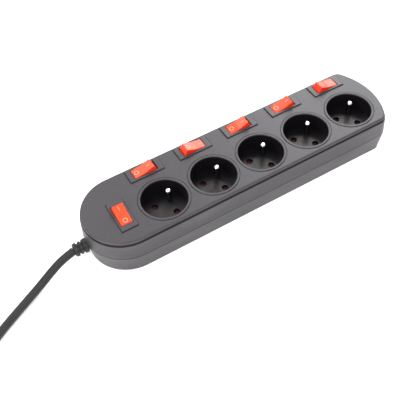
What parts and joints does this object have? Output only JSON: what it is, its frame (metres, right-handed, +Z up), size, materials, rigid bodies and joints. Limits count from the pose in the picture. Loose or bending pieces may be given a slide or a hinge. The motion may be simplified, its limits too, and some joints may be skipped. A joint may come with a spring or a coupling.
{
  "type": "multi-socket power strip",
  "caption": "Long grey mains extension strip with round deep sockets in a row, a lit red rocker switch for each and one for the whole strip, a black cord and a plug.",
  "frame": {"origin": "centre of the flat underside of the case", "axes": "+X along the strip from the cord end to the plain end, +Y towards the row of socket switches, +Z up"},
  "size_m": [0.5277, 0.1084, 0.0452],
  "materials": {
    "case_plastic": "fine grain grey moulding",
    "well_plastic": "black moulding",
    "shutter_plastic": "orange-red moulding",
    "bezel_plastic": "grey moulding",
    "rocker_plastic": "clear red moulding",
    "blade_metal": "bare with a silver button",
    "pin_metal": "nickel plated",
    "contact_brass": "bare stamped brass",
    "lamp_glass": "clear glass tube",
    "board_laminate": "green solder resist",
    "varistor_coat": "dipped blue coating",
    "earth_insulation": "green and yellow",
    "live_insulation": "brown",
    "neutral_insulation": "blue",
    "cord_jacket": "satin black jacket",
    "clamp_plastic": "black moulding",
    "tie_strap": "black strap",
    "screw_steel": "zinc plated",
    "plug_plastic": "black moulding"
  },
  "bodies": {
    "case": {"top_cover": "case_plastic", "bottom_cover": "case_plastic", "socket_insert_1": "well_plastic", "socket_insert_2": "well_plastic", "socket_insert_3": "well_plastic", "socket_insert_4": "well_plastic", "socket_insert_5": "well_plastic", "main_switch_housing": "bezel_plastic", "socket_switch_1_housing": "bezel_plastic", "socket_switch_2_housing": "bezel_plastic", "socket_switch_3_housing": "bezel_plastic", "socket_switch_4_housing": "bezel_plastic", "socket_switch_5_housing": "bezel_plastic", "earth_pins": "pin_metal", "plug_pins": "pin_metal", "plug_earth_contacts": "pin_metal", "earth_busbar": "contact_brass", "neutral_busbar": "contact_brass", "live_busbar": "contact_brass", "lamp_busbar": "contact_brass", "live_contact_1": "contact_brass", "live_contact_2": "contact_brass", "live_contact_3": "contact_brass", "live_contact_4": "contact_brass", "live_contact_5": "contact_brass", "switch_terminals": "contact_brass", "indicator_lamps": "lamp_glass", "surge_board": "board_laminate", "varistors": "varistor_coat", "earth_wire": "earth_insulation", "live_wires": "live_insulation", "neutral_wires": "neutral_insulation", "cord_gland": "cord_jacket", "inner_cord_end": "cord_jacket", "cord_tube": "cord_jacket", "cord_tail": "cord_jacket", "cord_coil": "cord_jacket", "cord_clamp": "clamp_plastic", "coil_tie": "tie_strap", "cover_screws": "screw_steel", "clamp_screws": "screw_steel", "plug_body": "plug_plastic"},
    "shutter_1": {"shutter_1": "shutter_plastic"},
    "shutter_2": {"shutter_2": "shutter_plastic"},
    "shutter_3": {"shutter_3": "shutter_plastic"},
    "shutter_4": {"shutter_4": "shutter_plastic"},
    "shutter_5": {"shutter_5": "shutter_plastic"},
    "main_switch_rocker": {"main_switch_rocker": "rocker_plastic"},
    "main_switch_blade": {"main_switch_blade": "blade_metal"},
    "socket_switch_1_rocker": {"socket_switch_1_rocker": "rocker_plastic"},
    "socket_switch_1_blade": {"socket_switch_1_blade": "blade_metal"},
    "socket_switch_2_rocker": {"socket_switch_2_rocker": "rocker_plastic"},
    "socket_switch_2_blade": {"socket_switch_2_blade": "blade_metal"},
    "socket_switch_3_rocker": {"socket_switch_3_rocker": "rocker_plastic"},
    "socket_switch_3_blade": {"socket_switch_3_blade": "blade_metal"},
    "socket_switch_4_rocker": {"socket_switch_4_rocker": "rocker_plastic"},
    "socket_switch_4_blade": {"socket_switch_4_blade": "blade_metal"},
    "socket_switch_5_rocker": {"socket_switch_5_rocker": "rocker_plastic"},
    "socket_switch_5_blade": {"socket_switch_5_blade": "blade_metal"}
  },
  "joints": [
    {"name": "shutter_1_turn", "type": "hinge", "parent": "case", "child": "shutter_1", "pos_m": [-0.0751, -0.0095, 0.0215], "axis": [0, 0, -1], "range_deg": [0, 38], "stiffness_Nm_per_rad": 0.002, "springref_deg": -17.19},
    {"name": "shutter_2_turn", "type": "hinge", "parent": "case", "child": "shutter_2", "pos_m": [-0.0286, -0.0095, 0.0215], "axis": [0, 0, -1], "range_deg": [0, 38], "stiffness_Nm_per_rad": 0.002, "springref_deg": -17.19},
    {"name": "shutter_3_turn", "type": "hinge", "parent": "case", "child": "shutter_3", "pos_m": [0.0179, -0.0095, 0.0215], "axis": [0, 0, -1], "range_deg": [0, 38], "stiffness_Nm_per_rad": 0.002, "springref_deg": -17.19},
    {"name": "shutter_4_turn", "type": "hinge", "parent": "case", "child": "shutter_4", "pos_m": [0.0644, -0.0095, 0.0215], "axis": [0, 0, -1], "range_deg": [0, 38], "stiffness_Nm_per_rad": 0.002, "springref_deg": -17.19},
    {"name": "shutter_5_turn", "type": "hinge", "parent": "case", "child": "shutter_5", "pos_m": [0.1109, -0.0095, 0.0215], "axis": [0, 0, -1], "range_deg": [0, 38], "stiffness_Nm_per_rad": 0.002, "springref_deg": -17.19},
    {"name": "main_switch_rock", "type": "hinge", "parent": "case", "child": "main_switch_rocker", "pos_m": [-0.1119, -0.0062, 0.037], "axis": [-1, 0, 0], "range_deg": [0, 30]},
    {"name": "main_switch_contact", "type": "hinge", "parent": "case", "child": "main_switch_blade", "pos_m": [-0.1119, -0.0062, 0.0241], "axis": [-1, 0, 0], "range_deg": [-16, 0]},
    {"name": "socket_switch_1_rock", "type": "hinge", "parent": "case", "child": "socket_switch_1_rocker", "pos_m": [-0.0751, 0.0256, 0.037], "axis": [0, 1, 0], "range_deg": [0, 30]},
    {"name": "socket_switch_1_contact", "type": "hinge", "parent": "case", "child": "socket_switch_1_blade", "pos_m": [-0.0751, 0.0256, 0.0241], "axis": [0, 1, 0], "range_deg": [-16, 0]},
    {"name": "socket_switch_2_rock", "type": "hinge", "parent": "case", "child": "socket_switch_2_rocker", "pos_m": [-0.0286, 0.0256, 0.037], "axis": [0, 1, 0], "range_deg": [-30, 0]},
    {"name": "socket_switch_2_contact", "type": "hinge", "parent": "case", "child": "socket_switch_2_blade", "pos_m": [-0.0286, 0.0256, 0.0241], "axis": [0, 1, 0], "range_deg": [0, 16]},
    {"name": "socket_switch_3_rock", "type": "hinge", "parent": "case", "child": "socket_switch_3_rocker", "pos_m": [0.0179, 0.0256, 0.037], "axis": [0, 1, 0], "range_deg": [0, 30]},
    {"name": "socket_switch_3_contact", "type": "hinge", "parent": "case", "child": "socket_switch_3_blade", "pos_m": [0.0179, 0.0256, 0.0241], "axis": [0, 1, 0], "range_deg": [-16, 0]},
    {"name": "socket_switch_4_rock", "type": "hinge", "parent": "case", "child": "socket_switch_4_rocker", "pos_m": [0.0644, 0.0256, 0.037], "axis": [0, 1, 0], "range_deg": [0, 30]},
    {"name": "socket_switch_4_contact", "type": "hinge", "parent": "case", "child": "socket_switch_4_blade", "pos_m": [0.0644, 0.0256, 0.0241], "axis": [0, 1, 0], "range_deg": [-16, 0]},
    {"name": "socket_switch_5_rock", "type": "hinge", "parent": "case", "child": "socket_switch_5_rocker", "pos_m": [0.1109, 0.0256, 0.037], "axis": [0, 1, 0], "range_deg": [-30, 0]},
    {"name": "socket_switch_5_contact", "type": "hinge", "parent": "case", "child": "socket_switch_5_blade", "pos_m": [0.1109, 0.0256, 0.0241], "axis": [0, 1, 0], "range_deg": [0, 16]}
  ],
  "couplings": [
    {"joint": "main_switch_contact", "follows": "main_switch_rock", "ratio": -0.53333},
    {"joint": "socket_switch_1_contact", "follows": "socket_switch_1_rock", "ratio": -0.53333},
    {"joint": "socket_switch_2_contact", "follows": "socket_switch_2_rock", "ratio": -0.53333},
    {"joint": "socket_switch_3_contact", "follows": "socket_switch_3_rock", "ratio": -0.53333},
    {"joint": "socket_switch_4_contact", "follows": "socket_switch_4_rock", "ratio": -0.53333},
    {"joint": "socket_switch_5_contact", "follows": "socket_switch_5_rock", "ratio": -0.53333}
  ]
}
